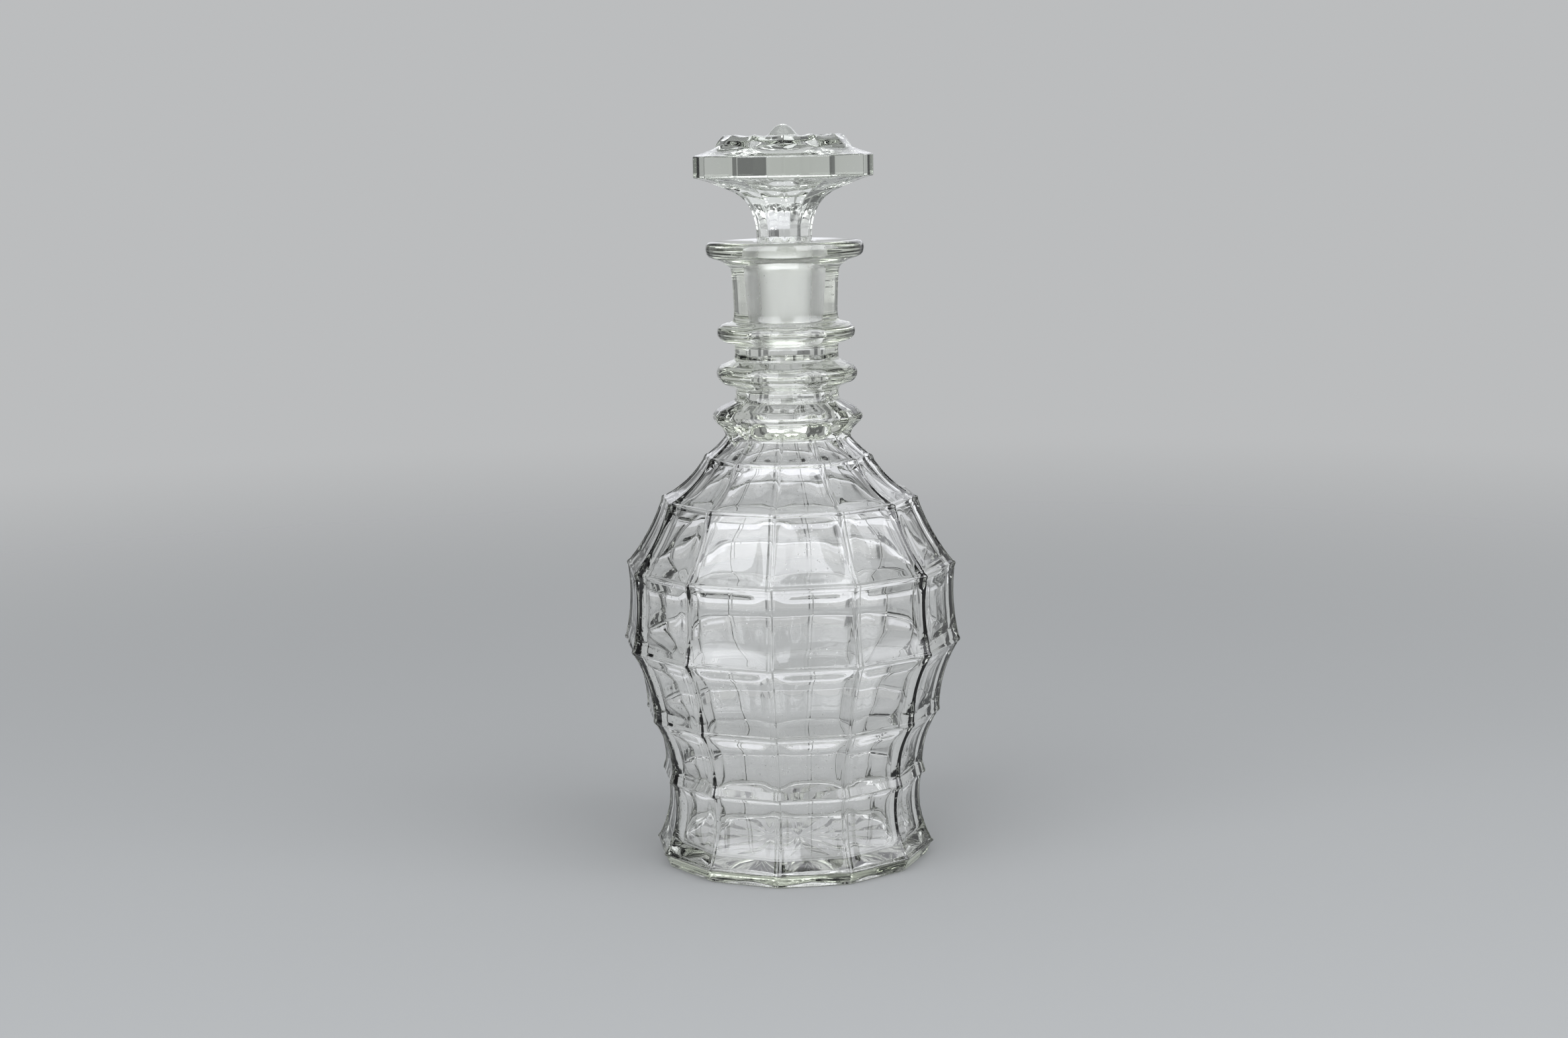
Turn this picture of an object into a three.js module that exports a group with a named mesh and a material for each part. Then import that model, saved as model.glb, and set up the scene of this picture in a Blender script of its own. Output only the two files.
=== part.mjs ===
// A moulded glass port decanter with a ground-in glass stopper. Both pieces are twelve-sided:
// the body is a stack of tiers whose panels are hollow between ribs and arrises, with three
// neck rings, a broad pouring lip and a star pressed into the base.
// Millimetres, +Z up. The origin is the centre of the face that the decanter stands on.
import * as THREE from 'three';

// Panels round the body and round the stopper, and the turn of the stopper as it was put back.
const panelCount = 12;
const stopperTurnDegrees = 8;

// Outside of the body, from the table up. Each tier has the height to its upper arris, the
// radius out to the ribs there, and how far its panels are hollowed inside a straight wall.
const baseEdgeRadius = 47.8;
const footHeight = 4.6;
const footRadius = 49.9;
const skirtHeight = 26.6;
const skirtRadius = 46.4;
const skirtHollow = 2.8;
const waistHeight = 21.8;
const waistRadius = 52.6;
const waistHollow = 2;
const hipHeight = 25.5;
const hipRadius = 60.1;
const hipHollow = 2;
const bellyHeight = 27.5;
const bellyRadius = 58.6;
const bellyHollow = 1.4;
const shoulderHeight = 23.7;
const shoulderRadius = 45.4;
const shoulderHollow = 1.4;
const crownHeight = 14.7;
const crownRadius = 29.6;
const crownHollow = 1.8;
const collarHeight = 7.6;
const collarRadius = 21.5;
const collarHollow = 0.5;

// The ribs between panels, the flat along each arris, the hollow across each panel, and the
// girdle: a small bead that stands proud of the arris between the skirt and the waist.
const ribWidth = 2;
const ribStand = 0.25;
const arrisWidth = 1;
const panelDish = 0.35;
const girdleWidth = 4.4;
const girdleStand = 1;

// Neck and its three rings. The two lower rings are twelve-sided, with sloped sides and an
// upright band, and the upper ring is a round bead.
const neckRadius = 18.8;
const ringSlopeWidth = 5.4;
const lowerRingHeight = 12.2;
const lowerRingRadius = 26.8;
const lowerRingBand = 3.6;
const lowerGapHeight = 4.3;
const middleRingHeight = 9.9;
const middleRingRadius = 25.1;
const middleRingBand = 3;
const upperGapHeight = 5.7;
const upperRingHeight = 7.7;
const upperRingRadius = 24.3;
const upperRingBead = 2.9;
const throatHeight = 19.7;

// Pouring lip, from the neck to its flat top.
const lipHeight = 8.3;
const lipRadius = 27.7;
const lipRounding = 2.8;
const lipRoot = 0.8;
const mouthRounding = 0.8;

// Inside of the body.
const floorThickness = 7;
const floorCornerRadius = 4;
const footWall = 6.2;
const skirtWall = 4.6;
const waistWall = 4.2;
const bellyWall = 3.8;
const shoulderWall = 3.8;
const crownWall = 3.9;
const boreRunOut = 1.5;
const boreRadius = 9.4;
const boreFlareLength = 8;
const cavityRoundnessShare = 0.3;
const cavityHollowShare = 0.75;

// Star pressed into the base, inside the ring of glass that rests on the table.
const restWidth = 7.5;
const starRecess = 0.7;
const starGroove = 1.6;
const starHubRadius = 3;
const starLandShare = 0.1;
const starGrooveShare = 0.45;

// Ground plug of the stopper. It tapers by this much radius for each length.
const plugLength = 28.6;
const plugRadius = 9.6;
const plugTaperShare = 0.045;
const plugChamfer = 0.7;
const groundClearance = 0.25;

// Stem and head of the stopper, from the mouth up.
const stemFootHeight = 1;
const stemHeight = 11.5;
const stemRadius = 12.4;
const stemHollow = 0.8;
const calyxHeight = 4.4;
const calyxRadius = 17.2;
const calyxHollow = 0.3;
const undersideHeight = 5.2;
const undersideHollow = 0.4;
const rimRadius = 31.5;
const rimHeight = 7.3;
const rimChamfer = 0.4;
const brimHeight = 3.6;
const brimHollow = 0.35;
const bandRadius = 23.6;
const bandHeight = 3.7;
const plateauRadius = 19.6;
const plateauDish = 0.8;
const plateauSlopeWidth = 5;
const petalDip = 0.8;
const knobRadius = 4.9;
const knobFillet = 1.2;
const knobHeight = 3.5;

// Points in each panel of the mesh, steps up a tier outside and inside, and round a curve.
const pointsInPanel = 5;
const tierSteps = 4;
const cavitySteps = 2;
const curveSteps = 4;

const panelAngle = (2 * Math.PI) / panelCount;
const firstRibAngle = -(Math.PI + panelAngle) / 2;
const quarterTurn = Math.PI / 2;
const mouthRadius = plugRadius + groundClearance;

const tiers = [
  { height: skirtHeight, radius: skirtRadius, hollow: skirtHollow, wall: skirtWall },
  { height: waistHeight, radius: waistRadius, hollow: waistHollow, wall: waistWall },
  { height: hipHeight, radius: hipRadius, hollow: hipHollow, wall: bellyWall },
  { height: bellyHeight, radius: bellyRadius, hollow: bellyHollow, wall: bellyWall },
  { height: shoulderHeight, radius: shoulderRadius, hollow: shoulderHollow, wall: shoulderWall },
  { height: crownHeight, radius: crownRadius, hollow: crownHollow, wall: crownWall },
  { height: collarHeight, radius: collarRadius, hollow: collarHollow, wall: crownWall },
];

// Sections of a level. Panels can have ribs that stand proud, a hollow across and, on the
// stopper's crown, a dip between ribs. Roundness draws a section towards a circle.
const cutPanels = { stand: ribStand, dish: panelDish };
const flatPanels = {};
const petals = { dip: petalDip };
const softPanels = { roundness: cavityRoundnessShare };
const circle = { roundness: 1 };

// A point of a profile is a radius and a height.
const at = (radius, height) => new THREE.Vector2(radius, height);

const polar = (radius, angle) => at(Math.cos(angle), Math.sin(angle)).multiplyScalar(radius);

const levelsOf = (profile, section) => profile.map((point) => ({ point, ...section }));

// Where along a panel its points lie: at the rib, at each side of the rib and across the middle.
function panelShares(radius) {
  const chord = 2 * radius * Math.sin(panelAngle / 2);
  const rib = Math.min(ribWidth / 2 / chord, 1 / pointsInPanel);
  return [0, rib, 1 / 3, 2 / 3, 1 - rib];
}

// The points of one level, in order round the axis.
function pointsOf({ point, roundness = 0, stand = 0, dish = 0, dip = 0, shares }) {
  const along = shares ?? panelShares(point.x);
  const insets = [0, stand, stand + dish, stand + dish, stand];
  const dips = [0, 0, dip, dip, 0];
  const found = [];
  for (let panel = 0; panel < panelCount; panel += 1) {
    const start = firstRibAngle + panel * panelAngle;
    const inward = polar(1, start + panelAngle / 2).negate();
    const from = polar(point.x, start);
    const to = polar(point.x, start + panelAngle);
    along.forEach((share, index) => {
      const flat = from.clone().lerp(to, share).addScaledVector(inward, insets[index]);
      const curved = polar(point.x, start + (panelAngle * index) / pointsInPanel);
      const place = flat.lerp(curved, roundness);
      found.push(new THREE.Vector3(place.x, place.y, point.y - dips[index]));
    });
  }
  return found;
}

// Skins a closed body over its levels, from the height where it starts on the axis to the
// height where it ends there.
function loft(startHeight, levels, endHeight) {
  const count = panelCount * pointsInPanel;
  const vertices = [new THREE.Vector3(0, 0, startHeight)];
  levels.forEach((each) => vertices.push(...pointsOf(each)));
  vertices.push(new THREE.Vector3(0, 0, endHeight));
  const last = vertices.length - 1;
  const index = [];
  for (let i = 0; i < count; i += 1) {
    const next = (i + 1) % count;
    index.push(0, 1 + next, 1 + i);
    index.push(last, last - count + i, last - count + next);
    for (let row = 0; row + 1 < levels.length; row += 1) {
      const low = 1 + row * count;
      const high = low + count;
      index.push(low + i, low + next, high + next);
      index.push(low + i, high + next, high + i);
    }
  }
  const geometry = new THREE.BufferGeometry().setFromPoints(vertices);
  geometry.setIndex(index);
  geometry.computeVertexNormals();
  return geometry;
}

// The points between two arrises, on a curve that lies inside the straight line.
function hollowRun(from, to, hollow, steps = tierSteps) {
  const run = to.clone().sub(from);
  const inward = at(-run.y, run.x).normalize();
  return Array.from({ length: steps - 1 }, (_, step) => {
    const share = (step + 1) / steps;
    const depth = hollow * 4 * share * (1 - share);
    return from.clone().addScaledVector(run, share).addScaledVector(inward, depth);
  });
}

// A round edge, from one angle to another about its centre.
function roundEdge(centre, radius, startAngle, endAngle, steps) {
  return Array.from({ length: steps + 1 }, (_, step) => {
    const angle = startAngle + ((endAngle - startAngle) * step) / steps;
    return centre.clone().add(polar(radius, angle));
  });
}

// The two edges of a band along an arris, this wide.
function arrisBand(before, arris, after, width) {
  return [before, after].map((neighbour) => {
    const toward = neighbour.clone().sub(arris).setLength(width / 2);
    return arris.clone().add(toward);
  });
}

// The girdle, whose crown stands proud between the edges of its band.
function girdle(before, arris, after) {
  const [low, high] = arrisBand(before, arris, after, girdleWidth);
  return [low, arris.clone().add(at(girdleStand, 0)), high];
}

// The corner of a wall's inner face, a wall's thickness inside the corner of its outer face.
function insetCorner(before, corner, after, wall) {
  const inwardOf = (from, to) => at(from.y - to.y, to.x - from.x).normalize();
  const first = inwardOf(before, corner);
  const second = inwardOf(corner, after);
  const mean = first.clone().add(second).normalize();
  return corner.clone().addScaledVector(mean, wall / mean.dot(first));
}

// The arrises of the body, from the foot to the underside of the lowest neck ring.
function bodyArrises() {
  const arrises = [at(footRadius, footHeight)];
  tiers.forEach(({ height, radius }, i) => arrises.push(at(radius, arrises[i].y + height)));
  return arrises;
}

// The flat ring that rests on the table, and the star of hollow rays inside it.
function baseLevels() {
  const starRadius = baseEdgeRadius - restWidth;
  const shares = [0, starLandShare, starGrooveShare, 1 - starGrooveShare, 1 - starLandShare];
  const rays = (radius, groove) => ({ point: at(radius, starRecess), dip: -groove, shares });
  return [
    rays(starHubRadius, starGroove / 2),
    rays(starRadius / 2, starGroove),
    rays(starRadius - 2 * starGroove, starGroove),
    rays(starRadius - starRecess, 0),
    ...levelsOf([at(starRadius, 0), at(baseEdgeRadius, 0)], flatPanels),
  ];
}

// The outside of the body, tier by tier, with a narrow flat along each arris but the girdle's.
function tierLevels(arrises) {
  const runs = tiers.map(({ hollow }, i) => hollowRun(arrises[i], arrises[i + 1], hollow));
  const profile = [arrises[0], ...runs[0]];
  runs.slice(1).forEach((run, i) => {
    const trio = [runs[i][runs[i].length - 1], arrises[i + 1], run[0]];
    const band = i === 0 ? girdle(...trio) : arrisBand(...trio, arrisWidth);
    profile.push(...band, ...run);
  });
  return levelsOf([...profile, arrises[arrises.length - 1]], cutPanels);
}

// A twelve-sided neck ring: slopes that run out from the neck to an upright band.
function facetedRing(bottom, height, radius, band) {
  const middle = bottom + height / 2;
  const edge = neckRadius + ringSlopeWidth;
  const slopeEnd = (band + height / 2) / 3;
  return levelsOf([
    at(neckRadius, bottom),
    at(edge, middle - slopeEnd),
    at(radius, middle - band / 4),
    at(radius, middle + band / 4),
    at(edge, middle + slopeEnd),
    at(neckRadius, bottom + height),
  ], flatPanels);
}

// The round neck ring: a bead with a short slope above and below it.
function roundRing(bottom) {
  const centre = at(upperRingRadius - upperRingBead, bottom + upperRingHeight / 2);
  const bead = roundEdge(centre, upperRingBead, -quarterTurn, quarterTurn, curveSteps);
  return [
    ...levelsOf([at(neckRadius, bottom)], flatPanels),
    ...levelsOf(bead, circle),
    ...levelsOf([at(neckRadius, bottom + upperRingHeight)], flatPanels),
  ];
}

// The neck with its three rings, up to the underside of the lip.
function neckLevels(bottom) {
  const middleRing = bottom + lowerRingHeight + lowerGapHeight;
  const upperRing = middleRing + middleRingHeight + upperGapHeight;
  const lip = upperRing + upperRingHeight + throatHeight;
  const lowerRing = facetedRing(bottom, lowerRingHeight, lowerRingRadius, lowerRingBand);
  return [
    ...lowerRing.slice(1),
    ...facetedRing(middleRing, middleRingHeight, middleRingRadius, middleRingBand),
    ...roundRing(upperRing),
    ...levelsOf([at(neckRadius, lip)], flatPanels),
  ];
}

// The broad round lip, over its edge and in to the mouth.
function lipLevels(top) {
  const edge = at(lipRadius - lipRounding, top - lipRounding);
  const mouth = at(mouthRadius + mouthRounding, top - mouthRounding);
  return levelsOf([
    at(neckRadius + lipRoot, top - lipHeight + lipRoot / 4),
    ...roundEdge(edge, lipRounding, -quarterTurn, quarterTurn, curveSteps),
    ...roundEdge(mouth, mouthRounding, quarterTurn, 2 * quarterTurn, curveSteps / 2),
  ], circle);
}

// The ground bore under the mouth, and the plain bore down to where it flares.
function boreLevels(top, flareHeight) {
  const groundEnd = top - plugLength - boreRunOut;
  const groundRadius = mouthRadius - plugTaperShare * (plugLength + boreRunOut);
  return levelsOf([
    at(groundRadius, groundEnd),
    at(boreRadius, groundEnd - boreRunOut),
    at(boreRadius, flareHeight),
  ], circle);
}

// The corners of the cavity, a wall's thickness inside the arrises, from the skirt's upward.
function cavityCorners(arrises) {
  return tiers.slice(0, -1).map(({ wall }, i) => insetCorner(...arrises.slice(i, i + 3), wall));
}

// Where the crown's inner face, carried on up, would meet the bore.
function flareCorner(corners) {
  const [below, top] = corners.slice(-2);
  const slope = (top.y - below.y) / (below.x - top.x);
  return at(boreRadius, top.y + slope * (top.x - boreRadius));
}

// The cavity, from the flare under the bore down to its round-cornered floor.
function cavityLevels(corners) {
  const top = corners[corners.length - 1];
  const corner = flareCorner(corners);
  const flareTop = corner.clone().add(at(0, boreFlareLength));
  const flare = new THREE.QuadraticBezierCurve(flareTop, corner, top).getPoints(curveSteps);
  const down = [];
  for (let i = corners.length - 1; i > 0; i -= 1) {
    const hollow = tiers[i].hollow * cavityHollowShare;
    const run = hollowRun(corners[i - 1], corners[i], hollow, cavitySteps);
    down.push(...run.reverse(), corners[i - 1]);
  }
  const floorEdge = at(footRadius - footWall, floorThickness + floorCornerRadius);
  const skirt = hollowRun(floorEdge, corners[0], skirtHollow * cavityHollowShare).reverse();
  const floorCentre = floorEdge.clone().sub(at(floorCornerRadius, 0));
  const floorCorner = roundEdge(floorCentre, floorCornerRadius, 0, -quarterTurn, curveSteps);
  return [
    ...levelsOf(flare.slice(1, -1), circle),
    ...levelsOf([top, ...down, ...skirt, ...floorCorner], softPanels),
  ];
}

function decanterBody() {
  const arrises = bodyArrises();
  const neckFoot = arrises[arrises.length - 1].y;
  const neck = neckLevels(neckFoot);
  const mouth = neck[neck.length - 1].point.y + lipHeight;
  const corners = cavityCorners(arrises);
  const flareHeight = flareCorner(corners).y + boreFlareLength;
  const levels = [
    ...baseLevels(),
    ...tierLevels(arrises),
    ...neck,
    ...lipLevels(mouth),
    ...boreLevels(mouth, flareHeight),
    ...cavityLevels(corners),
  ];
  return { geometry: loft(starRecess + starGroove / 2, levels, floorThickness), mouth };
}

// The ground plug, with a small chamfer at its end.
function plugLevels() {
  const endRadius = plugRadius - plugTaperShare * plugLength;
  return levelsOf([
    at(endRadius - plugChamfer, -plugLength),
    at(endRadius, plugChamfer - plugLength),
    at(plugRadius, 0),
  ], circle);
}

// The stem and the underside of the head, in three tiers of hollow panels.
function stemLevels() {
  const foot = at(plugRadius, stemFootHeight);
  const stem = at(stemRadius, foot.y + stemHeight);
  const calyx = at(calyxRadius, stem.y + calyxHeight);
  const rim = at(rimRadius - rimChamfer, calyx.y + undersideHeight);
  return levelsOf([
    foot,
    ...hollowRun(foot, stem, stemHollow),
    stem,
    ...hollowRun(stem, calyx, calyxHollow, curveSteps / 2),
    calyx,
    ...hollowRun(calyx, rim, undersideHollow),
    rim,
  ], flatPanels);
}

// The upright rim, and the brim and band that rise from it to the plateau.
function headLevels(rimBottom) {
  const rimTop = rimBottom + rimHeight;
  const brim = at(rimRadius - rimChamfer, rimTop);
  const band = at(bandRadius, rimTop + brimHeight);
  const plateau = at(plateauRadius, band.y + bandHeight);
  return [
    ...levelsOf([
      at(rimRadius, rimBottom + rimChamfer),
      at(rimRadius, rimTop - rimChamfer),
      brim,
      ...hollowRun(brim, band, brimHollow),
    ], flatPanels),
    ...levelsOf([band, plateau], petals),
    ...levelsOf([at(plateauRadius - plateauSlopeWidth, plateau.y - plateauDish)], flatPanels),
  ];
}

// The small round knob at the middle of the plateau.
function knobLevels(plateauHeight) {
  const foot = plateauHeight - plateauDish;
  const start = at(knobRadius + knobFillet, foot);
  const edge = at(knobRadius, foot + knobFillet / 2);
  const peak = at(0, foot + plateauDish + knobHeight);
  const shoulder = at(knobRadius / 2, peak.y);
  const dome = new THREE.QuadraticBezierCurve(edge, shoulder, peak).getPoints(curveSteps);
  return levelsOf([start, ...dome.slice(0, -1)], circle);
}

function stopper() {
  const stem = stemLevels();
  const head = headLevels(stem[stem.length - 1].point.y);
  const plateauHeight = head[head.length - 2].point.y;
  const levels = [...plugLevels(), ...stem, ...head, ...knobLevels(plateauHeight)];
  return loft(-plugLength, levels, plateauHeight + knobHeight);
}

// Clear soda glass with a faint grey-green cast.
const bodyGlass = new THREE.MeshStandardMaterial({ color: 0xdfe8e2, roughness: 0.03, metalness: 0 });
const stopperGlass = new THREE.MeshStandardMaterial({ color: 0xe4ebe6, roughness: 0.05, metalness: 0 });

const { geometry, mouth } = decanterBody();
const bodyMesh = new THREE.Mesh(geometry, bodyGlass);
bodyMesh.name = 'decanter_body';

const stopperMesh = new THREE.Mesh(stopper(), stopperGlass);
stopperMesh.name = 'stopper';
stopperMesh.position.z = mouth;
stopperMesh.rotation.z = THREE.MathUtils.degToRad(stopperTurnDegrees);

const decanter = new THREE.Group();
decanter.add(bodyMesh, stopperMesh);

export default decanter;
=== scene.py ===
import math

import bmesh
import bpy
from mathutils import Matrix, Vector, noise


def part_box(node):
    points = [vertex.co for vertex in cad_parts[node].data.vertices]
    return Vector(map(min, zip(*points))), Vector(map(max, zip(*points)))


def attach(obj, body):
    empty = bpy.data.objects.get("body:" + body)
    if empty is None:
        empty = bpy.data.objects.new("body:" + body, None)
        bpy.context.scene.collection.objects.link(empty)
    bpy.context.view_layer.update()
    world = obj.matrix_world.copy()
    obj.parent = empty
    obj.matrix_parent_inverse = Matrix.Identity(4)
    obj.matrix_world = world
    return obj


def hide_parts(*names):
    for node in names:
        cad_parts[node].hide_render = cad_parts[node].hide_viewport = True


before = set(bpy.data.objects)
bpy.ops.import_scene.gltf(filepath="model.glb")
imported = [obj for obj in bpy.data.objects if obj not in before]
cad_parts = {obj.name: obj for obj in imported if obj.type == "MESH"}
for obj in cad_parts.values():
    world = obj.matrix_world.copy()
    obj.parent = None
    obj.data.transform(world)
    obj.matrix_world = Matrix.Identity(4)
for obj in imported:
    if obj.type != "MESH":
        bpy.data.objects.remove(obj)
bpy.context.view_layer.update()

# The camera stands where the photograph was taken from: 0.89 m from the axis, a little above the rim
# of the stopper, looking down past the shoulder, with the slight roll that the photograph has.
camera_turn = math.radians(-7.78)
camera_distance = 0.8922
camera_height = 0.2569
camera_pan = math.radians(0.121)
camera_dip = math.radians(8.641)
camera_roll = math.radians(-1.026)
camera_data = bpy.data.cameras.new("photo_camera")
camera_data.sensor_width = 36
camera_data.lens = 58.33
camera_data.clip_start = 0.01
camera = bpy.data.objects.new("photo_camera", camera_data)
bpy.context.scene.collection.objects.link(camera)
camera_place = Matrix.Rotation(camera_turn, 4, "Z") @ Vector((0, -camera_distance, camera_height))
camera.matrix_world = (
    Matrix.Translation(camera_place)
    @ Matrix.Rotation(camera_turn + camera_pan, 4, "Z")
    @ Matrix.Rotation(math.radians(90) - camera_dip, 4, "X")
    @ Matrix.Rotation(camera_roll, 4, "Z")
)
bpy.context.scene.camera = camera

# The body is one piece of clear moulded glass. Molten glass was pressed and blown into a hinged
# mould, which left hollow panels between soft ribs, and the rings, lip and star base were formed
# with it. Sizes are in millimetres here, and the finished mesh is scaled to metres.
millimetre = 0.001
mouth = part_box("decanter_body")[1][2] / millimetre
panel_count = 12
panel_turn = 2 * math.pi / panel_count
first_rib = -math.pi / 2 - panel_turn / 2
bead_half_width = 1.3
rib_bead = 0.45
arris_bead = 0.35
# the scooped floor of a panel has round corners, and slopes up to the flat border of the panel
scoop_corner = 3.4
scoop_slope = 4.2
# the lines of the mesh stand this far from a rib or an arris, closest where its bead is, and from
# the last of these to the middle of the panel in shares of what is left
near_bead = (0, 0.5, 1.0, 1.3, 1.45, 2.1)
past_bead = (0.11, 0.24, 0.42, 0.68, 1)
half_lines = len(near_bead) + len(past_bead) - 1
panel_lines = 2 * half_lines
# moulded walls wander a little, in a broad swell with a finer one of half its height on it. These are
# how many of each there are to the millimetre
broad_swell = 0.045
fine_swell = 0.1


class Row:
    """One row of a profile, which the glass follows right round the axis."""

    # 1 where the wall is twelve-sided and 0 where it is round
    facet = 1
    # how broadly its ribs are rounded, and every second rib where that one differs
    rib = 1
    other_rib = None
    # how far the beads stand proud of its ribs
    bead = 0
    # how deep its panels are scooped, how far it is from an arris, and how wide their border is
    scoop = 0
    from_arris = 0
    border = 0
    # which way is out from the wall, as a step in radius and one in height
    outward = (1, 0)
    # how far it climbs between two ribs, given the share of the way from a rib to the next
    climb = None
    # how far the wall wanders, and a place in the noise that it follows
    wave = 0
    seed = None
    # how far round it is turned from the body's ribs
    turn = 0
    # 1 where the glass is ground matt
    ground = 0

    def __init__(self, point, **given):
        """The point holds its radius, out to the ribs, and its height. The rest is as above if not given."""
        self.point = point
        for name, value in given.items():
            setattr(self, name, value)


def spaced(step, half):
    """How far the line of this step stands from its rib or arris, on a panel of this half width."""
    if step < len(near_bead):
        return min(near_bead[step], half * step / half_lines)
    last = min(near_bead[-1], half * (len(near_bead) - 1) / half_lines)
    return last + (half - last) * past_bead[step - len(near_bead)]


def smooth_step(value, low, high):
    """0 below low and 1 above high, with a soft step between the two."""
    share = min(max((value - low) / (high - low), 0), 1)
    return share * share * (3 - 2 * share)


def bead_section(away):
    """The rounded section of a bead: 1 on its crest, and 0 where the panel starts."""
    return max(1 - (away / bead_half_width) ** 2, 0)


def scoop_share(from_rib, from_arris, border):
    """How deep in its hollow a point of a panel lies: 0 on the border, 1 on the floor of it."""
    across = from_rib - border
    along = from_arris - border
    if across < scoop_corner and along < scoop_corner:
        inside = scoop_corner - math.hypot(scoop_corner - across, scoop_corner - along)
    else:
        inside = min(across, along)
    return smooth_step(inside, 0, scoop_slope)


def placed(row, index):
    """Where the wall passes on one row, at the line of this number counted round from a rib."""
    radius, height = row.point
    panel, line = divmod(index, panel_lines)
    half_chord = radius * math.sin(panel_turn / 2)
    from_rib = spaced(min(line, panel_lines - line), half_chord)
    from_middle = math.copysign(half_chord - from_rib, line - half_lines)
    share = 0.5 + 0.5 * from_middle / max(half_chord, 1e-9)
    # every second panel is the mirror image of the one before, so ribs of two kinds can take turns
    fold = share if panel % 2 == 0 else 1 - share
    other_rib = row.rib if row.other_rib is None else row.other_rib
    rib = row.rib + (other_rib - row.rib) * fold
    sunk = math.tan(panel_turn / 2) * (math.hypot(from_rib, rib) - from_rib)
    sunk -= row.bead * bead_section(from_rib)
    if row.scoop:
        scooped = row.scoop * scoop_share(from_rib, row.from_arris, row.border)
        sunk += scooped * row.outward[0]
        height -= scooped * row.outward[1]
    if row.climb:
        height += row.climb(fold)
    start = first_rib + row.turn + panel * panel_turn
    middle = start + panel_turn / 2
    apothem = radius * math.cos(panel_turn / 2) - sunk
    flat = Vector((
        apothem * math.cos(middle) - from_middle * math.sin(middle),
        apothem * math.sin(middle) + from_middle * math.cos(middle),
        0,
    ))
    angle = start + panel_turn * share
    spot = Vector((radius * math.cos(angle), radius * math.sin(angle), 0)).lerp(flat, row.facet)
    spot.z = height
    if row.wave:
        swell = noise.noise(spot * broad_swell + row.seed) + 0.5 * noise.noise(spot * fine_swell)
        spot += Vector((spot.x, spot.y, 0)).normalized() * swell * row.wave
    return spot


def wrapped(rows, name):
    """A closed smooth object in metres: a grid whose rows follow the profile, wrapped round the axis."""
    around = panel_count * panel_lines
    first_pole, last_pole = (Row(Vector((0, row.point.y)), facet=0) for row in (rows[0], rows[-1]))
    rows = [first_pole, *rows, last_pole]
    mesh = bmesh.new()
    ground = mesh.verts.layers.float.new("ground")
    bmesh.ops.create_grid(mesh, x_segments=around, y_segments=len(rows) - 1, size=1)
    for vert in mesh.verts:
        # the grid reaches from -1 to 1 both ways, and its last column comes to lie on its first
        index = round((vert.co.x + 1) / 2 * around) % around
        row = rows[round((vert.co.y + 1) / 2 * (len(rows) - 1))]
        vert.co = placed(row, index)
        vert[ground] = row.ground
    bmesh.ops.remove_doubles(mesh, verts=mesh.verts, dist=0.0005)
    bmesh.ops.recalc_face_normals(mesh, faces=mesh.faces)
    bmesh.ops.scale(mesh, vec=(millimetre,) * 3, verts=mesh.verts)
    data = bpy.data.meshes.new(name)
    mesh.to_mesh(data)
    mesh.free()
    data.polygons.foreach_set("use_smooth", [True] * len(data.polygons))
    piece = bpy.data.objects.new(name, data)
    bpy.context.scene.collection.objects.link(piece)
    return piece


def filleted(corners, steps):
    """The points of a profile. Each corner is (radius, height, length of its rounding)."""
    most_of_side = 0.45
    # a side longer than this many roundings gets one more point, just past each rounding, to keep it flat
    long_side = 3.2
    just_past = 1.3
    points = []
    for index, (radius, height, rounding) in enumerate(corners):
        corner = Vector((radius, height))
        if rounding == 0 or index in (0, len(corners) - 1):
            points.append(corner)
            continue
        before, after = (Vector(corners[index + step][:2]) - corner for step in (-1, 1))
        start, end = (
            corner + side.normalized() * min(rounding, most_of_side * side.length)
            for side in (before, after)
        )
        if before.length > long_side * rounding:
            points.append(corner + before.normalized() * rounding * just_past)
        for step in range(steps + 1):
            share = step / steps
            points.append(start * (1 - share) ** 2 + corner * (2 * share * (1 - share)) + end * share**2)
        if after.length > long_side * rounding:
            points.append(corner + after.normalized() * rounding * just_past)
    return points


outer_seed = Vector((9.2, 1.4, 5.5))
inner_seed = Vector((3.1, 7.7, 1.3))
rib_rounding = 0.9
# what all the rows of the panelled wall share
panelled = {"rib": rib_rounding, "bead": rib_bead, "wave": 0.04, "seed": outer_seed}
# the rounding of an arris draws the wall in by these shares of itself, on the crest and beside it
drawn_on_crest = 0.22
drawn_beside = 0.2
# the arrises between the tiers: radius out to the ribs, height, and how broadly each is rounded
arrises = [
    (49.9, 4.6, 0.9),
    (46.4, 31.2, 0.9),
    (52.6, 53.0, 0.9),
    (60.1, 78.5, 0.9),
    (58.6, 106.0, 0.9),
    (45.4, 129.7, 1.3),
    (29.6, 144.4, 1.6),
    (21.5, 152.0, 0),
]
# the tier above each arris but the last: how far its profile bows in, how deep its panels are
# scooped, and how wide their border is
tiers = [
    (2.8, 0.6, 2.0),
    (2.0, 0.6, 2.0),
    (2.0, 0.6, 2.0),
    (1.4, 0.45, 2.0),
    (1.4, 0.45, 2.4),
    (1.8, 0.3, 1.6),
    (0.5, 0.1, 1.2),
]


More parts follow.
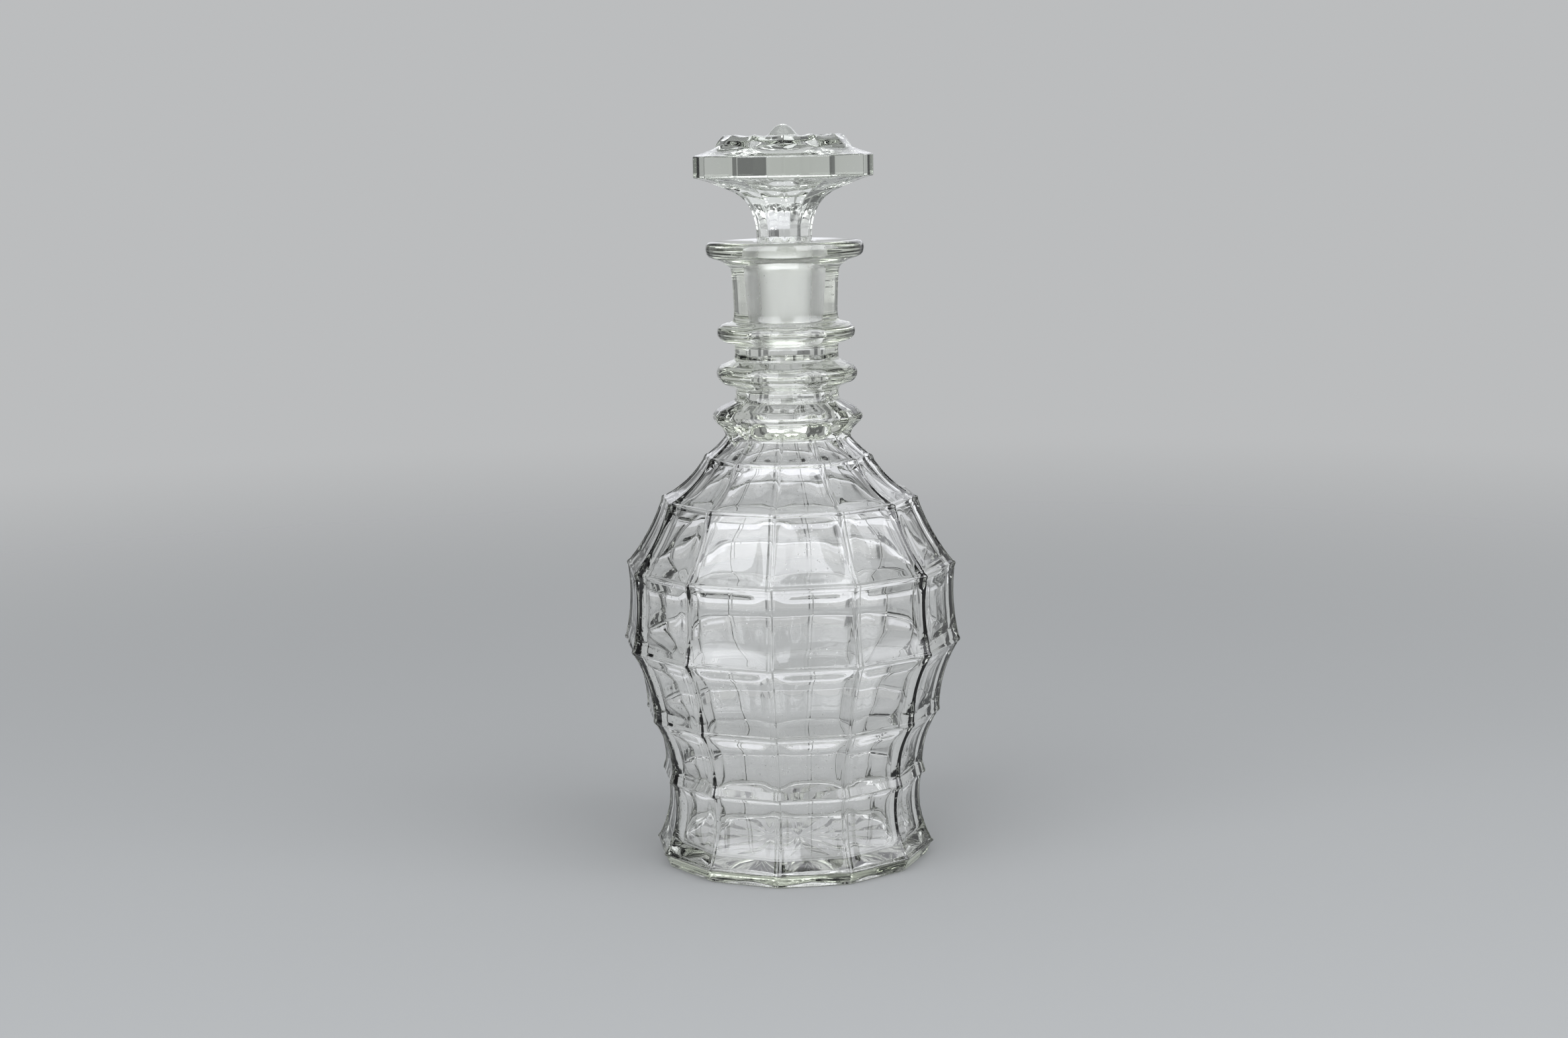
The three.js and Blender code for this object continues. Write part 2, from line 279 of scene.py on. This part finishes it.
def tier_rows(low, high, hollow, depth, border):
    """The rows of one tier, between its two arrises, on a profile that bows in by the hollow."""
    start, end = Vector(low[:2]), Vector(high[:2])
    run = end - start
    outward = Vector((run.y, -run.x)).normalized()
    rows = []
    for step in range(1, panel_lines):
        from_arris = spaced(min(step, panel_lines - step), run.length / 2)
        share = from_arris / run.length if step < half_lines else 1 - from_arris / run.length
        bow = 4 * hollow * share * (1 - share)
        round_low = math.hypot(share * run.length, low[2]) - share * run.length
        round_high = math.hypot((1 - share) * run.length, high[2]) - (1 - share) * run.length
        proud = arris_bead * bead_section(from_arris)
        inward = bow + drawn_beside * (round_low + round_high) - proud
        point = start + run * share - outward * inward
        row = Row(point, scoop=depth, from_arris=from_arris, border=border, outward=outward, **panelled)
        rows.append(row)
    return rows


def arris_row(index):
    """The row along the crest of an arris, drawn in a little by its rounding."""
    radius, height, rounding = arrises[index]
    return Row(Vector((radius - drawn_on_crest * rounding + arris_bead, height)), **panelled)


def star_ray(depth):
    """Climbs from a rib into the sharp floor of a ray, which is halfway to the next rib."""
    return lambda fold: depth * (1 - abs(2 * fold - 1))


# the star, from its hub out: twelve pressed rays in a shallow dish
star_dish = 0.7
star_radius = 40.3
rows = []
for radius, depth in (
    (2.2, 0.9), (4, 1.3), (8, 1.6), (14, 1.7), (21, 1.7), (28, 1.6), (33, 1.5), (36.5, 1.2), (38.6, 0.8),
):
    rows.append(Row(Vector((radius, star_dish)), rib=0.2, climb=star_ray(depth)))
# the flat ring that the decanter stands on, and the chamfer that leans out from it
standing_ring = [(39.2, star_dish, 0), (star_radius, 0, 0.5), (47.8, 0, 0.6), (48.2, 0.9, 0)]
for point in filleted(standing_ring, 3):
    rows.append(Row(point, rib=0.5))
rows.append(Row(Vector((49.3, 3.3)), rib=0.7))
rows.append(Row(Vector((49.7, 4.1)), rib=0.8))
rows.append(arris_row(0))
# the girdle takes the place of the next arris: a band that leans out over a small step
girdle_foot = 28.6
girdle = [
    (45.95, 28.9), (46.15, 29.3), (46.6, 29.6), (47.1, 29.85), (47.35, 30.15), (47.4, 30.5),
    (47.25, 31.0), (46.95, 32.0), (46.65, 33.0), (46.45, 33.6), (46.4, 34.0),
]
for index, (hollow, depth, border) in enumerate(tiers):
    rows += tier_rows(arrises[index], arrises[index + 1], hollow, depth, border)
    if index == 0:
        rows = [row for row in rows if row.point.y < girdle_foot]
        rows += [Row(Vector(corner), rib=rib_rounding, bead=rib_bead) for corner in girdle]
    elif index < len(tiers) - 1:
        rows.append(arris_row(index + 1))
# above the foot each row is higher than all before it, so one that isn't is left out
foot_top = 5
highest = 0
rising = []
for row in rows:
    if row.point.y < foot_top or row.point.y > highest:
        rising.append(row)
        highest = max(highest, row.point.y)
rows = rising

# the neck, from the last arris to the ground bore
lower_ring = [
    (24.4, 154.8, 1.0), (26.8, 157.2, 1.0), (26.8, 159.0, 0.8), (24.9, 161.2, 1.0), (18.7, 164.2, 0.9),
]
middle_ring = [
    (18.4, 166.2, 0.4), (18.5, 168.4, 0.9), (23.9, 170.6, 1.0), (25.1, 172.6, 0.8), (25.1, 174.4, 0.8),
    (23.9, 176.3, 1.0), (18.6, 178.4, 0.9),
]
upper_ring = [
    (18.3, 181.2, 0.8), (18.5, 183.9, 0.9), (22.4, 184.9, 1.0), (24.3, 186.6, 1.3), (24.3, 189.3, 1.3),
    (22.4, 191.0, 1.0), (18.6, 191.9, 0.9),
]
throat = [(18.2, 194.4, 1.0), (18.3, 199.0, 1.5), (18.6, 206.0, 1.5), (19.0, 210.6, 1.6)]
bore_radius = 9.85
lip = [
    (22.6, 212.9, 1.6), (27.7, 214.6, 2.2), (27.7, mouth, 2.4), (22.0, mouth, 1.5),
    (10.6, mouth - 0.3, 0.6), (bore_radius, mouth - 1.2, 0.4),
]
lower_ring_top = 164
middle_ring_top = 179
round_from = 194


def neck_facet(height):
    """How twelve-sided the neck is: fully on the lower ring, less on the next two, and then round."""
    if height < lower_ring_top:
        return 1
    if height < middle_ring_top:
        return 0.75
    return 0.4 * (1 - smooth_step(height, middle_ring_top, round_from))


for point in filleted([arrises[-1], *lower_ring, *middle_ring, *upper_ring, *throat, *lip], 3)[1:]:
    row = Row(point, facet=neck_facet(point.y), rib=rib_rounding, wave=0.03, seed=outer_seed)
    rows.append(row)
rows[-1].ground = 1
rows[-1].wave = 0
# the ground bore, whose taper matches the plug, and the polished bore below it
bore_taper = 0.045
for height in (216, 212, 208, 204, 200, 196, 192, 189.9):
    radius = bore_radius - bore_taper * (mouth - height)
    rows.append(Row(Vector((radius, height)), facet=0, ground=1))
for radius, height in (
    (8.7, 189.5), (9.1, 188.6), (9.35, 187.4), (9.4, 184), (9.4, 176), (9.45, 168), (9.9, 163.6),
    (10.8, 160.2), (12.3, 157.2), (14.5, 154.0), (17.4, 150.6), (21.0, 146.8),
):
    rows.append(Row(Vector((radius, height)), facet=0, wave=0.05, seed=inner_seed))
# the inside follows the tiers of the outside, softened, at the thickness of a strong bottle. It has
# corners behind the tiers, at these shares of the way up each of them, counted from the foot
wall = 3.7
floor_height = 6.8
inner_bow = 0.9
inner_facet = 0.92
inner_rib = 2.6
inner_rounding = 4.5
corners_behind = [(0.8, 0.5, 0.24), *[(0.8, 0.5, 0.2)] * 4, (0.42, 0.12)]
inside = [(21.0, 146.8, 0), (27.4, 141.2, 3.5)]
for index in reversed(range(len(corners_behind))):
    start, end = Vector(arrises[index][:2]), Vector(arrises[index + 1][:2])
    outward = Vector((end.y - start.y, start.x - end.x)).normalized()
    for share in corners_behind[index]:
        bow = 4 * tiers[index][0] * share * (1 - share)
        point = start.lerp(end, share) - outward * (inner_bow * bow + wall)
        inside.append((*point, inner_rounding))
inside += [(43.5, 8.6, 1.2), (41.6, floor_height, 1.4), (20, floor_height, 2), (2.2, floor_height + 0.1, 0)]
for point in filleted(inside, 2)[1:]:
    facet = inner_facet * smooth_step(point.x, 22, 38)
    wave = 0.09 if point.y > floor_height + 0.7 else 0
    rows.append(Row(point, rib=inner_rib, facet=facet, wave=wave, seed=inner_seed))

body = wrapped(rows, "body_glass_piece")
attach(body, "decanter")
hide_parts("decanter_body")


def add_node(tree, kind, inputs=None, **settings):
    """A node of a tree. Each input is given by its name or number, and is a value or a socket."""
    node = tree.nodes.new(kind)
    for key, value in settings.items():
        setattr(node, key, value)
    for key, value in (inputs or {}).items():
        if isinstance(value, bpy.types.NodeSocket):
            tree.links.new(value, node.inputs[key])
        else:
            node.inputs[key].default_value = value
    return node


def maths(tree, operation, *values):
    """What a Math node makes of one or two values or sockets."""
    return add_node(tree, "ShaderNodeMath", dict(enumerate(values)), operation=operation).outputs["Value"]


def ramp(tree, value, low, high, start=0, end=1):
    """start below low and end above high, with a soft step between the two."""
    inputs = {"Value": value, "From Min": low, "From Max": high, "To Min": start, "To Max": end}
    return add_node(tree, "ShaderNodeMapRange", inputs, interpolation_type="SMOOTHSTEP").outputs["Result"]


def noise_of(tree, position, scale, **inputs):
    """A noise of this many grains to the metre."""
    inputs = {"Vector": position, "Scale": scale, **inputs}
    return add_node(tree, "ShaderNodeTexNoise", inputs).outputs["Fac"]


# what both pieces of old moulded glass show on their surface, as one group: slow ripples from the
# mould, small seeds and specks, fine rubbed marks, and the grain of a ground joint
marks = bpy.data.node_groups.new("old_glass_surface", "ShaderNodeTree")
for name, start in (("Ripple", 0.4), ("Seeds", 1), ("Rubbed", 0), ("Ground", 0), ("Polish", 0.003)):
    socket = marks.interface.new_socket(name, in_out="INPUT", socket_type="NodeSocketFloat")
    socket.default_value, socket.min_value, socket.max_value = start, 0, 2
marks.interface.new_socket("Position", in_out="INPUT", socket_type="NodeSocketVector")
marks.interface.new_socket("Height", in_out="OUTPUT", socket_type="NodeSocketFloat")
marks.interface.new_socket("Roughness", in_out="OUTPUT", socket_type="NodeSocketFloat")
given = marks.nodes.new("NodeGroupInput").outputs
position = given["Position"]
# how high or deep the marks are, in millimetres, and what they add to the roughness
slow_height = 0.06
fine_height = 0.004
dot_height = 0.05
scratch_height = -0.004
grain_height = 0.012
dot_roughness = 0.5
rubbed_roughness = 0.3
# slow ripples about 15 mm long with finer ones of 4 mm on them
slow = noise_of(marks, position, 65, Detail=1.5, Roughness=0.4)
slow = maths(marks, "MULTIPLY", slow, slow_height)
fine = maths(marks, "MULTIPLY", noise_of(marks, position, 260, Detail=1), fine_height)
ripple = maths(marks, "MULTIPLY", maths(marks, "ADD", slow, fine), given["Ripple"])
# seeds: one cell in eight of a 3.6 mm grid holds a small bubble at the surface
seed_cells = add_node(marks, "ShaderNodeTexVoronoi", {"Vector": position, "Scale": 280, "Randomness": 1})
seed_kind = add_node(marks, "ShaderNodeSeparateColor", {"Color": seed_cells.outputs["Color"]})
seed = ramp(marks, seed_cells.outputs["Distance"], 0.05, 0.085, 1, 0)
seed = maths(marks, "MULTIPLY", seed, maths(marks, "GREATER_THAN", seed_kind.outputs["Red"], 0.88))
# specks and pinhead marks, thicker in some places than in others
speck_cells = add_node(marks, "ShaderNodeTexVoronoi", {"Vector": position, "Scale": 620, "Randomness": 1})
speck_kind = add_node(marks, "ShaderNodeSeparateColor", {"Color": speck_cells.outputs["Color"]})
crowd = ramp(marks, noise_of(marks, position, 38, Detail=1), 0.45, 0.7, 1.0, 0.62)
speck = ramp(marks, speck_cells.outputs["Distance"], 0.14, 0.24, 1, 0)
speck = maths(marks, "MULTIPLY", speck, maths(marks, "GREATER_THAN", speck_kind.outputs["Green"], crowd))
dots = maths(marks, "MAXIMUM", seed, maths(marks, "MULTIPLY", speck, 0.8))
dots = maths(marks, "MULTIPLY", dots, given["Seeds"])
# rubbed marks: short fine scratches, tilted three ways, among patches that are worn all over
rubbed = ramp(marks, noise_of(marks, position, 180, Detail=3), 0.5, 0.7)
for tilt, offset in ((0.5, 0.0), (-0.9, 3.7), (1.5, 8.1)):
    drawn_out = {
        "Vector": position, "Location": (offset, 0, 0), "Rotation": (tilt, 0.3, tilt), "Scale": (1, 1, 0.06),
    }
    streaks = add_node(marks, "ShaderNodeMapping", drawn_out).outputs["Vector"]
    streak = ramp(marks, noise_of(marks, streaks, 1500, Detail=0), 0.7, 0.76)
    rubbed = maths(marks, "MAXIMUM", rubbed, streak)
rubbed = maths(marks, "MULTIPLY", rubbed, given["Rubbed"])
# the grain that a grinding wheel leaves, about 0.4 mm across
grain = noise_of(marks, position, 2400, Detail=2)
ground_height = maths(marks, "MULTIPLY", maths(marks, "MULTIPLY", grain, given["Ground"]), grain_height)
ground_roughness = maths(marks, "MULTIPLY", given["Ground"], ramp(marks, grain, 0.3, 0.7, 0.36, 0.5))
height = maths(marks, "ADD", ripple, maths(marks, "MULTIPLY", dots, dot_height))
height = maths(marks, "ADD", height, ground_height)
height = maths(marks, "ADD", height, maths(marks, "MULTIPLY", rubbed, scratch_height))
roughness = maths(marks, "ADD", given["Polish"], maths(marks, "MULTIPLY", rubbed, rubbed_roughness))
roughness = maths(marks, "ADD", roughness, maths(marks, "MULTIPLY", dots, dot_roughness))
roughness = maths(marks, "MAXIMUM", roughness, ground_roughness)
add_node(marks, "NodeGroupOutput", {"Height": height, "Roughness": roughness})


def glass_finish(name, tint, ripple, seeds, wear):
    """Clear soda glass with old_glass_surface on it. Wear holds the heights between which it is rubbed."""
    material = bpy.data.materials.new(name)
    material.use_nodes = True
    tree = material.node_tree
    shader = tree.nodes["Principled BSDF"]
    shader.inputs["Base Color"].default_value = (1, 1, 1, 1)
    shader.inputs["Transmission Weight"].default_value = 1
    shader.inputs["IOR"].default_value = 1.52
    tinted = add_node(tree, "ShaderNodeVolumeAbsorption", {"Color": tint, "Density": 12})
    tree.links.new(tinted.outputs["Volume"], tree.nodes["Material Output"].inputs["Volume"])
    place = add_node(tree, "ShaderNodeTexCoord").outputs["Object"]
    ground = add_node(tree, "ShaderNodeAttribute", attribute_name="ground").outputs["Fac"]
    axes = add_node(tree, "ShaderNodeSeparateXYZ", {"Vector": place})
    worn = {"Value": axes.outputs["Z"], "From Min": wear[0], "From Max": wear[1], "To Min": 1, "To Max": 0}
    rubbed = add_node(tree, "ShaderNodeMapRange", worn).outputs["Result"]
    shown = {"Position": place, "Polish": 0.003, "Ripple": ripple, "Seeds": seeds, "Rubbed": rubbed}
    surface = add_node(tree, "ShaderNodeGroup", {**shown, "Ground": ground}, node_tree=marks)
    raised = {"Strength": 1, "Distance": millimetre, "Height": surface.outputs["Height"]}
    bump = add_node(tree, "ShaderNodeBump", raised)
    tree.links.new(bump.outputs["Normal"], shader.inputs["Normal"])
    tree.links.new(surface.outputs["Roughness"], shader.inputs["Roughness"])
    return material


# only the foot, which stands and slides on tables, is rubbed
body_tint = (0.775, 0.833, 0.66, 1)
foot_wear = (0.0006, 0.003)
body.data.materials.append(glass_finish("body_glass_finish", body_tint, 1, 1, foot_wear))

# The stopper is a second moulded piece, cut and polished: a twelve-sided stem and head under a
# fluted crown with a small knob, over a tapered plug that was ground into this one mouth. Its
# heights are counted from the mouth, in millimetres.
stopper_turn = math.radians(8)
rows = []
# the plug, from its tip up: radius, height, and how matt it is ground
for radius, height, ground in (
    (1.5, -28.6, 1), (5, -28.6, 1), (7.4, -28.6, 1), (8.0, -28.4, 1), (8.33, -27.9, 1), (8.6, -22, 1),
    (8.87, -16, 1), (9.15, -10, 1), (9.4, -4.5, 1), (9.5, -2.2, 1), (9.6, -0.4, 0.6),
):
    rows.append(Row(Vector((radius, height)), facet=0, ground=ground))
# the stem, the flared head with its upright rim, and the crown: radius, height, rounding, how far
# the row arches between its ribs, and how far it climbs over the middle of each of the six lobes
head = [
    (9.6, 0.3, 0, 0, 0),
    (9.7, 1.4, 0.3, 0, 0),
    (9.8, 4.2, 1.2, 0, 0),
    (10.2, 6.6, 1.2, 0.2, 0),
    (11.1, 9.6, 1.2, 0.6, 0),
    (12.4, 12.3, 0.35, 0.9, 0),
    (14.3, 14.6, 1.0, 0.8, 0),
    (17.2, 16.7, 0.35, 0.7, 0),
    (21.6, 18.7, 2.0, 0.4, 0),
    (26.5, 20.6, 2.0, 0.2, 0),
    (31.35, 22.0, 0.3, 0, 0),
    (31.5, 22.3, 0.15, 0, 0),
    (31.5, 29.3, 0.25, 0, 0),
    (31.2, 29.6, 0.2, 0, 0),
    (28.2, 30.3, 1.2, 0, -0.2),
    (25.6, 31.4, 1.0, 0, 0),
    (24.0, 32.8, 0.35, 0, 0.75),
    (22.6, 34.9, 0.9, -0.2, 0.25),
    (20.8, 36.6, 0.5, -0.6, 0.1),
    (19.2, 36.7, 0.5, -0.7, 0),
    (16.5, 36.3, 1.0, -0.5, 0),
    (12.0, 35.9, 1.5, -0.3, 0),
    (8.0, 35.85, 0, 0, 0),
]
rim_top = 29.7


def carved(point):
    """How a row of the head climbs, in arches and over lobes, as its two nearest corners do."""
    nearest, second = sorted(head, key=lambda corner: (Vector(corner[:2]) - point).length)[:2]
    reach, second_reach = ((Vector(corner[:2]) - point).length + 1e-6 for corner in (nearest, second))
    arch, lobe = (
        (nearest[column] * second_reach + second[column] * reach) / (reach + second_reach)
        for column in (3, 4)
    )
    return lambda fold: arch * (1 - (2 * fold - 1) ** 2) + lobe * (1 - 2 * fold)


for point in filleted([corner[:3] for corner in head], 4):
    if point.y < rim_top:
        row = Row(point, facet=smooth_step(point.y, 0.3, 1.6), rib=0.3)
    else:
        # every second rib of the crown is the soft back of a lobe, and the others part the lobes
        row = Row(point, facet=smooth_step(point.x, 7.5, 14), rib=2.6, other_rib=0.25)
    row.climb = carved(point)
    rows.append(row)
# the knob, which is round
for radius, height in (
    (6.6, 35.95), (5.7, 36.2), (5.0, 36.65), (4.45, 37.25), (3.9, 37.95), (3.25, 38.65), (2.5, 39.3),
    (1.7, 39.8), (0.9, 40.1), (0.3, 40.2),
):
    rows.append(Row(Vector((radius, height)), facet=0))
for row in rows:
    row.turn = stopper_turn
    row.point = row.point + Vector((0, mouth))

stopper = wrapped(rows, "stopper_glass_piece")
# its cut faces were polished, so it has few ripples and seeds, and only the tip of the plug is rubbed
stopper_tint = (0.785, 0.837, 0.73, 1)
tip_wear = (0.1915, 0.1935)
stopper.data.materials.append(glass_finish("stopper_glass_finish", stopper_tint, 0.15, 0.08, tip_wear))
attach(stopper, "stopper")
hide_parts("stopper")

# The floor is a wide board painted pale grey. It fades into the backdrop further out, as a paper
# sweep does in a studio, so no edge of it shows, and it keeps the shadow of the glass.
pale_grey = (0.50, 0.508, 0.515, 1)
floor_radius = 4
fade_from, fade_to = 0.3, 1.3
just_under = -0.0001
floor_mesh = bmesh.new()
bmesh.ops.create_circle(floor_mesh, cap_ends=True, segments=96, radius=floor_radius)
bmesh.ops.translate(floor_mesh, vec=(0, 0, just_under), verts=floor_mesh.verts)
floor_data = bpy.data.meshes.new("floor")
floor_mesh.to_mesh(floor_data)
floor_mesh.free()
floor = bpy.data.objects.new("floor", floor_data)
bpy.context.scene.collection.objects.link(floor)
board = bpy.data.materials.new("pale_board")
board.use_nodes = True
tree = board.node_tree
paint = tree.nodes["Principled BSDF"]
paint.inputs["Base Color"].default_value = pale_grey
paint.inputs["Roughness"].default_value = 0.8
paint.inputs["Specular IOR Level"].default_value = 0
# what is seen of the floor through the glass shows the board's own colour as well as its shade,
# because little of the light that glass gathers on a floor is found in a picture of few samples
own_colour = add_node(tree, "ShaderNodeEmission", {"Color": pale_grey}).outputs["Emission"]
through_glass = add_node(tree, "ShaderNodeLightPath").outputs["Is Transmission Ray"]
half_own = maths(tree, "MULTIPLY", through_glass, 0.5)
lit = add_node(tree, "ShaderNodeMixShader", {"Fac": half_own, 1: paint.outputs["BSDF"], 2: own_colour})
place = add_node(tree, "ShaderNodeTexCoord").outputs["Object"]
from_axis = add_node(tree, "ShaderNodeVectorMath", {0: place}, operation="LENGTH").outputs["Value"]
clear = add_node(tree, "ShaderNodeBsdfTransparent").outputs["BSDF"]
faded = {"Fac": ramp(tree, from_axis, fade_from, fade_to), 1: lit.outputs["Shader"], 2: clear}
fading = add_node(tree, "ShaderNodeMixShader", faded)
tree.links.new(fading.outputs["Shader"], tree.nodes["Material Output"].inputs["Surface"])
floor.data.materials.append(board)

# The studio is a pale backdrop all round, with a dim room above it. Narrow dark screens stand
# between the usual views, so that the clear glass has something dark to draw its edges with, and
# large white cards between the screens give its panels their broad soft reflections.
dim_room = (0.3, 0.305, 0.31, 1)
white_ceiling = (1.0, 1.02, 1.05, 1)
dark_screen = (0.05, 0.052, 0.055, 1)
mixed_light = (0.42, 0.425, 0.43, 1)
joint_light = (0.78, 0.79, 0.81, 1)
shade_light = (0.48, 0.49, 0.5, 1)
world = bpy.data.worlds.new("studio")
bpy.context.scene.world = world
world.use_nodes = True
tree = world.node_tree


def blended(factor, first, second):
    """A colour of the world: first where the factor is 0 and second where it is 1."""
    inputs = {"Factor": factor, "A": first, "B": second}
    return add_node(tree, "ShaderNodeMix", inputs, data_type="RGBA").outputs["Result"]


# how far up a ray looks is given as its sine, and each edge between two heights is a soft step
backdrop_top = (0.26, 0.5)
ceiling_edge = (0.9, 0.95)
card_foot = (0.04, 0.1)
card_top = (0.88, 0.93)
brighter_from = (0.08, 0.24)
looking = add_node(tree, "ShaderNodeTexCoord").outputs["Generated"]
axes = add_node(tree, "ShaderNodeSeparateXYZ", {"Vector": looking}).outputs
azimuth = maths(tree, "ARCTAN2", axes["Y"], axes["X"])
height = axes["Z"]
room = blended(ramp(tree, height, *backdrop_top), pale_grey, dim_room)
room = blended(ramp(tree, height, *ceiling_edge), room, white_ceiling)
# the eight screens, 45 degrees apart and about 16 degrees wide
screen_turn = maths(tree, "ADD", azimuth, math.radians(4))
from_gap = maths(tree, "PINGPONG", screen_turn, math.radians(22.5))
screen = maths(tree, "MULTIPLY", ramp(tree, from_gap, math.radians(13), math.radians(15.5)), 0.75)
room = blended(screen, room, dark_screen)
# the cards, which only the glass sees, hang from just over the floor nearly up to the ceiling
seen = add_node(tree, "ShaderNodeLightPath").outputs
below_top = maths(tree, "SUBTRACT", 1, ramp(tree, height, *card_top))
level = maths(tree, "MULTIPLY", ramp(tree, height, *card_foot), below_top)
level = maths(tree, "MULTIPLY", level, maths(tree, "LESS_THAN", seen["Diffuse Depth"], 0.5))
level = maths(tree, "MULTIPLY", level, seen["Is Glossy Ray"])
mirrored = maths(tree, "GREATER_THAN", seen["Glossy Depth"], 0.5)
outside = maths(tree, "SUBTRACT", seen["Is Glossy Ray"], seen["Is Transmission Ray"])
outside_high = maths(tree, "MULTIPLY", outside, ramp(tree, height, *brighter_from))
matt = maths(tree, "SUBTRACT", seen["Is Glossy Ray"], seen["Is Singular Ray"])
# each card: its middle, counted round from the camera, half its width, and how bright it is on the
# way through the glass, mirrored in it, off its outer face, off that higher up, and off matt glass
card_tint = (1, 1.01, 1.06)
card_edge = 0.7
for middle, half_width, glows in (
    (-38, 26, (0.6, 1.25, 1.9, 4.1, 8)),
    (52, 34, (0.6, 1.25, 1.9, 4.1, 8)),
    (170, 24, (0.8, 1, 1.2, 1.2, 2)),
):
    card_turn = camera_turn + math.radians(middle - 90)
    from_middle = maths(tree, "PINGPONG", maths(tree, "SUBTRACT", azimuth, card_turn), math.pi)
    inner_edge, outer_edge = math.radians(half_width - card_edge), math.radians(half_width + card_edge)
    past_edge = ramp(tree, from_middle, inner_edge, outer_edge)
    card = maths(tree, "SUBTRACT", level, maths(tree, "MULTIPLY", level, past_edge))
    for share, glow in zip((None, mirrored, outside, outside_high, matt), glows):
        part = maths(tree, "MULTIPLY", card, share) if share else card
        room = blended(part, room, (*(glow * tone for tone in card_tint), 1))
# light that has wandered between many faces comes from all over the room, so it has one plain tone,
# and a paler one where it crossed six faces, as at the ground joint, whose grain gathers the cards
room = blended(maths(tree, "GREATER_THAN", seen["Ray Depth"], 6.5), room, mixed_light)
room = blended(maths(tree, "GREATER_THAN", seen["Transmission Depth"], 5.5), room, joint_light)
room = blended(seen["Is Diffuse Ray"], room, shade_light)
room = blended(seen["Is Camera Ray"], room, pale_grey)
tree.links.new(room, tree.nodes["Background"].inputs["Color"])
# two soft boxes: how far round from the camera and how high, in degrees, width and height in metres,
# and power in watts
box_distance = 1.3
aimed_height = 0.12
for name, turn, rise, size, power in (
    ("left_box", -36, 35, (1.18, 1.5), 8.5),
    ("right_box", 48, 35, (1.3, 1.5), 9.0),
):
    lamp = bpy.data.lights.new(name, "AREA")
    lamp.shape = "RECTANGLE"
    lamp.size, lamp.size_y = size
    lamp.energy = power
    lamp.color = (0.97, 0.985, 1.0)
    holder = bpy.data.objects.new(name, lamp)
    leaning = Vector((0, -math.cos(math.radians(rise)), math.sin(math.radians(rise))))
    aim = Matrix.Rotation(camera_turn + math.radians(turn), 3, "Z") @ leaning
    holder.location = aim * box_distance + Vector((0, 0, aimed_height))
    holder.rotation_euler = aim.to_track_quat("Z", "Y").to_euler()
    holder.visible_camera = False
    bpy.context.scene.collection.objects.link(holder)

bpy.context.scene.view_settings.view_transform = "Standard"
